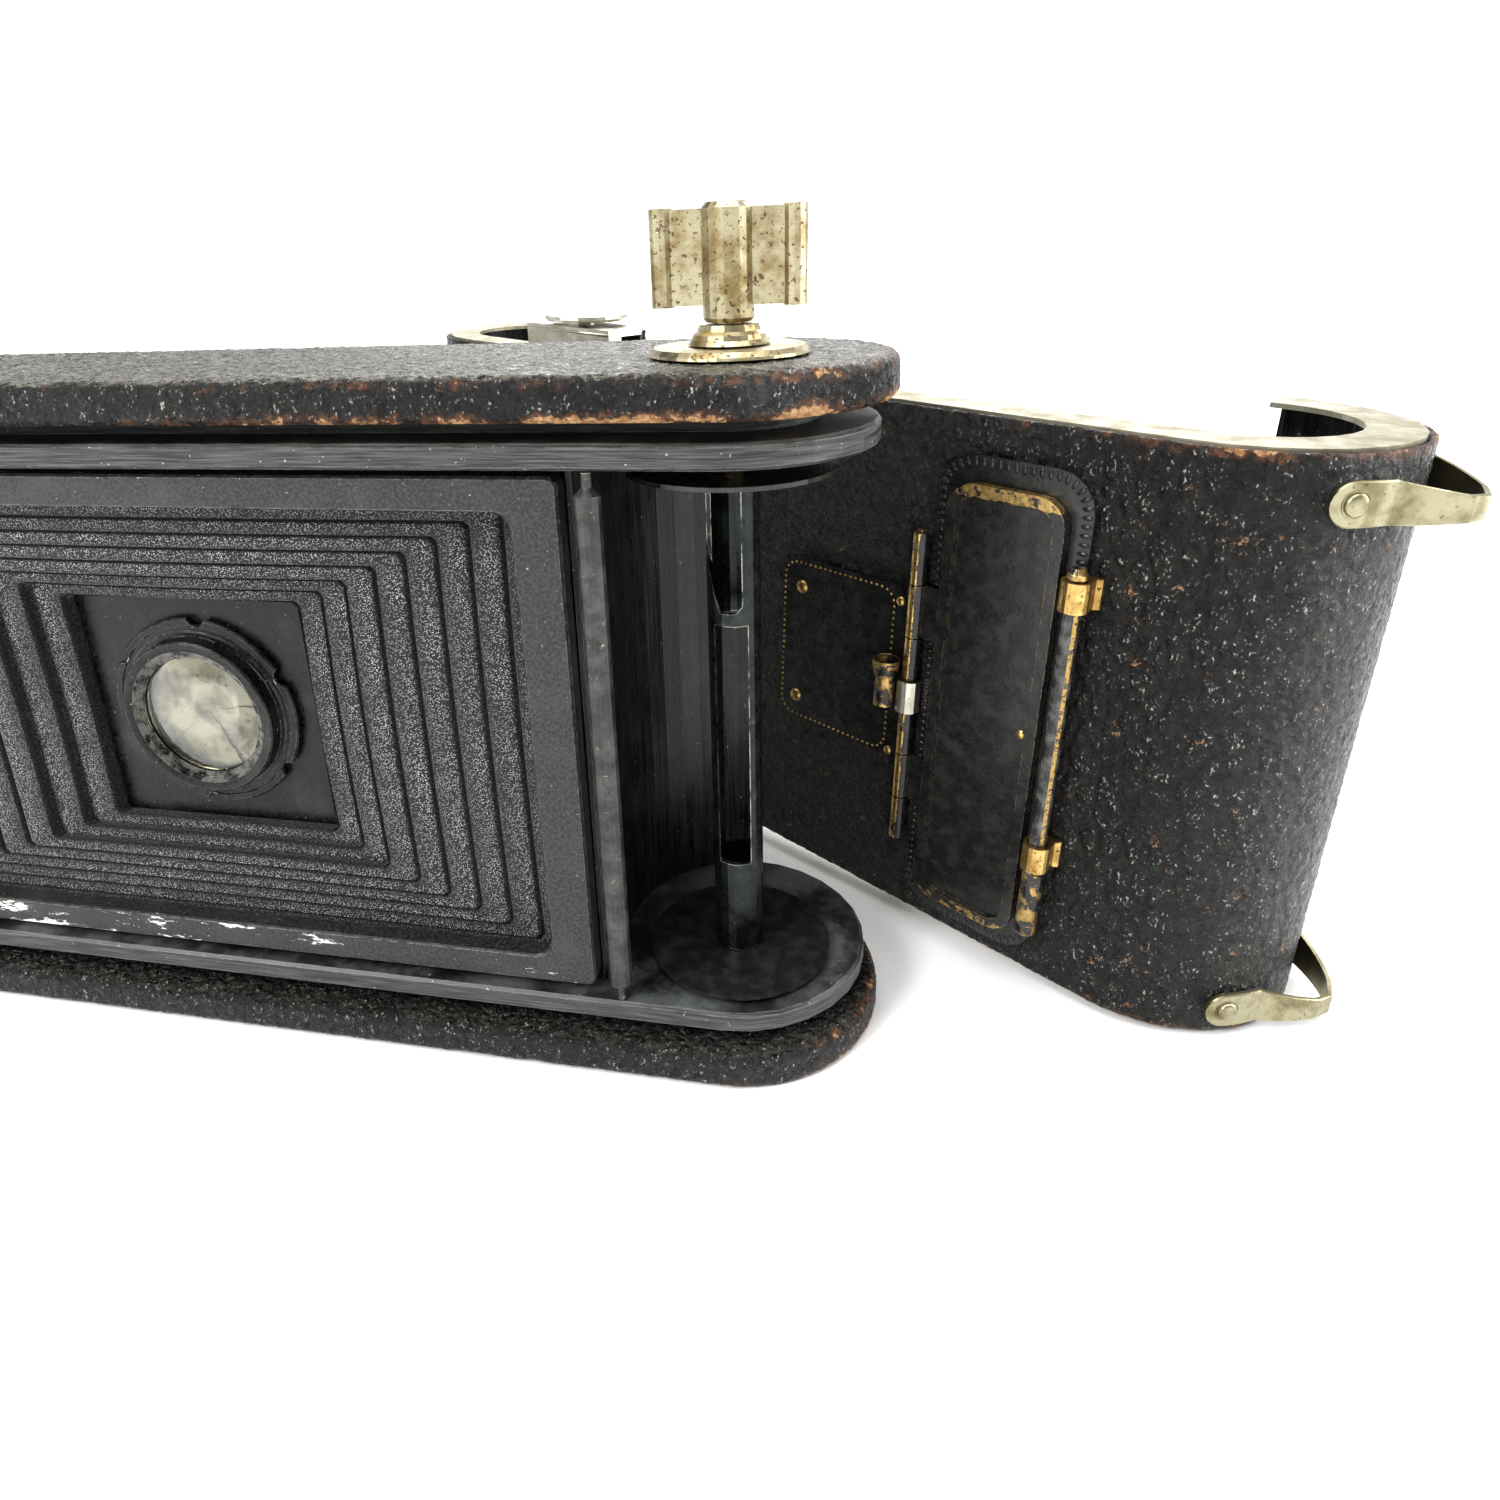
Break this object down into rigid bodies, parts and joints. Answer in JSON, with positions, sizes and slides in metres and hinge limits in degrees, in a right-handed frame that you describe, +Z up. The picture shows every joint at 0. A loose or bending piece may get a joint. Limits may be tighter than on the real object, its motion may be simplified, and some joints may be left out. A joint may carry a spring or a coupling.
{
  "type": "folding camera",
  "caption": "Folding roll-film camera standing on its long side: body with bellows, spool and winding key, drop bed open, and its loose rounded back standing behind it.",
  "frame": {"origin": "centre of the bottom cover's underside", "axes": "+X to the winding-key end, +Y towards the lens and drop bed, +Z up to the top cover"},
  "size_m": [0.3368, 0.1886, 0.1418],
  "materials": {
    "leather": "pebbled black leather, grey with age, worn brown at edges",
    "black_paint": "satin black paint, brushed and scuffed",
    "bellows_cloth": "matt black bellows cloth",
    "dark_steel": "blackened steel, pitted",
    "nickel": "tarnished nickel plate",
    "bare_metal": "bare worn metal edge",
    "black_enamel": "black enamel worn through to brass",
    "brass": "aged brass",
    "stylus_metal": "grey metal with brass tip",
    "glass": "polished optical glass"
  },
  "bodies": {
    "camera_body": {"bottom_cover": "leather", "top_cover": "leather", "tripod_socket": "nickel", "bottom_board": "black_paint", "top_board": "black_paint", "gate_frame": "black_paint", "inner_casing": "black_paint", "front_panel": "leather", "chamber_wall_right": "black_paint", "chamber_wall_left": "black_paint", "spool_centre_right": "nickel", "spool_centre_left": "nickel", "key_plate": "nickel", "slide_track": "nickel", "bellows": "bellows_cloth"},
    "film_roller_right": {"film_roller_right": "dark_steel"},
    "film_roller_left": {"film_roller_left": "dark_steel"},
    "take_up_spool": {"spool_core": "dark_steel", "spool_flange_lower": "dark_steel", "spool_flange_upper": "dark_steel"},
    "key_lift": {"key_sleeve": "nickel"},
    "winding_key": {"winding_key": "nickel"},
    "pull_knob": {"pull_knob": "nickel"},
    "bed_button": {"bed_button": "nickel"},
    "bed": {"bed_plate": "black_paint", "bed_cover": "leather", "bed_track": "nickel"},
    "strut_upper": {"bed_strut_upper": "nickel"},
    "strut_lower": {"bed_strut_lower": "nickel"},
    "folding_foot": {"folding_foot": "nickel"},
    "front_standard": {"carriage": "nickel", "standard_frame": "nickel", "lens_board": "black_paint", "rear_cell": "black_enamel", "rear_lens": "glass", "shutter_case": "black_enamel", "front_cell": "nickel", "front_lens": "glass", "finder_bracket": "nickel"},
    "release_lever": {"release_lever": "nickel"},
    "iris_pointer": {"iris_pointer": "nickel"},
    "speed_pointer": {"speed_pointer": "nickel"},
    "finder": {"finder_body": "nickel", "finder_lens": "glass"},
    "back": {"back_cover": "leather", "back_liner": "black_paint", "back_lip_lower": "bare_metal", "back_lip_upper": "bare_metal", "door_surround": "black_enamel", "hinge_leaf": "black_enamel", "hinge_pin": "brass", "spring_clip": "nickel", "stylus_ring_upper": "brass", "stylus_ring_lower": "brass", "strap_loop_upper": "nickel", "strap_loop_lower": "nickel", "catch_bar": "nickel"},
    "writing_door": {"writing_door": "black_enamel"},
    "stylus": {"stylus": "stylus_metal"},
    "catch_button": {"catch_button": "nickel"}
  },
  "joints": [
    {"name": "front_slide", "type": "slide", "parent": "camera_body", "child": "front_standard", "axis": [0, 1, 0], "range_m": [0, 0.125], "deforming": ["bellows"]},
    {"name": "back_slide", "type": "slide", "parent": "camera_body", "child": "back", "axis": [0, 1, 0], "range_m": [0, 0.08]},
    {"name": "bed_hinge", "type": "hinge", "parent": "camera_body", "child": "bed", "pos_m": [-0.0715, 0.0276, 0.0604], "axis": [0, 0, 1], "range_deg": [-90, 0]},
    {"name": "strut_upper_hinge", "type": "hinge", "parent": "bed", "child": "strut_upper", "pos_m": [-0.065, 0.0576, 0.1032], "axis": [0, 0, 1], "range_deg": [0, 135]},
    {"name": "strut_lower_hinge", "type": "hinge", "parent": "bed", "child": "strut_lower", "pos_m": [-0.065, 0.0576, 0.0176], "axis": [0, 0, 1], "range_deg": [0, 135]},
    {"name": "foot_hinge", "type": "hinge", "parent": "bed", "child": "folding_foot", "pos_m": [-0.0719, 0.128, 0.0604], "axis": [0, 0, -1], "range_deg": [0, 95]},
    {"name": "bed_button_press", "type": "slide", "parent": "camera_body", "child": "bed_button", "axis": [0, -1, 0], "range_m": [0, 0.0015], "stiffness_N_per_m": 800, "springref_m": -0.001},
    {"name": "key_pull", "type": "slide", "parent": "camera_body", "child": "key_lift", "axis": [0, 0, 1], "range_m": [0, 0.006]},
    {"name": "key_turn", "type": "hinge", "parent": "key_lift", "child": "winding_key", "pos_m": [0.1007, -0.0041, 0.13], "axis": [0, 0, 1], "continuous": true},
    {"name": "spool_turn", "type": "hinge", "parent": "camera_body", "child": "take_up_spool", "pos_m": [0.1007, -0.0041, 0.06], "axis": [0, 0, 1], "continuous": true},
    {"name": "knob_pull", "type": "slide", "parent": "camera_body", "child": "pull_knob", "axis": [0, 0, 1], "range_m": [0, 0.006]},
    {"name": "roller_right_turn", "type": "hinge", "parent": "camera_body", "child": "film_roller_right", "pos_m": [0.0825, -0.022, 0.0604], "axis": [0, 0, 1], "continuous": true},
    {"name": "roller_left_turn", "type": "hinge", "parent": "camera_body", "child": "film_roller_left", "pos_m": [-0.0825, -0.022, 0.0604], "axis": [0, 0, 1], "continuous": true},
    {"name": "release_press", "type": "hinge", "parent": "front_standard", "child": "release_lever", "pos_m": [-0.0195, 0.0046, 0.0796], "axis": [0, 1, 0], "range_deg": [0, 14], "stiffness_Nm_per_rad": 0.02, "springref_deg": -17.19},
    {"name": "iris_turn", "type": "hinge", "parent": "front_standard", "child": "iris_pointer", "pos_m": [0.0015, 0.0123, 0.0386], "axis": [0, 1, 0], "range_deg": [-60, 60]},
    {"name": "speed_turn", "type": "hinge", "parent": "front_standard", "child": "speed_pointer", "pos_m": [0.0015, 0.0123, 0.0776], "axis": [0, 1, 0], "range_deg": [-60, 60]},
    {"name": "finder_swivel", "type": "hinge", "parent": "front_standard", "child": "finder", "pos_m": [0.031, -0.0024, 0.0901], "axis": [0, 1, 0], "range_deg": [0, 90]},
    {"name": "door_hinge", "type": "hinge", "parent": "back", "child": "writing_door", "pos_m": [0.12988, 0.0256, 0.05262], "axis": [-0.0329, 0.0228, -0.9992], "range_deg": [0, 60]},
    {"name": "stylus_pull", "type": "slide", "parent": "back", "child": "stylus", "axis": [-0.0329, 0.0228, -0.9992], "range_m": [0, 0.01]},
    {"name": "catch_press", "type": "slide", "parent": "back", "child": "catch_button", "axis": [-0.0329, 0.0228, -0.9992], "range_m": [0, 0.0008], "stiffness_N_per_m": 800, "springref_m": -0.001}
  ],
  "couplings": [
    {"joint": "strut_upper_hinge", "follows": "bed_hinge", "ratio": -1.5},
    {"joint": "strut_lower_hinge", "follows": "bed_hinge", "ratio": -1.5},
    {"joint": "back_slide", "follows": "front_slide", "ratio": 0.6}
  ]
}
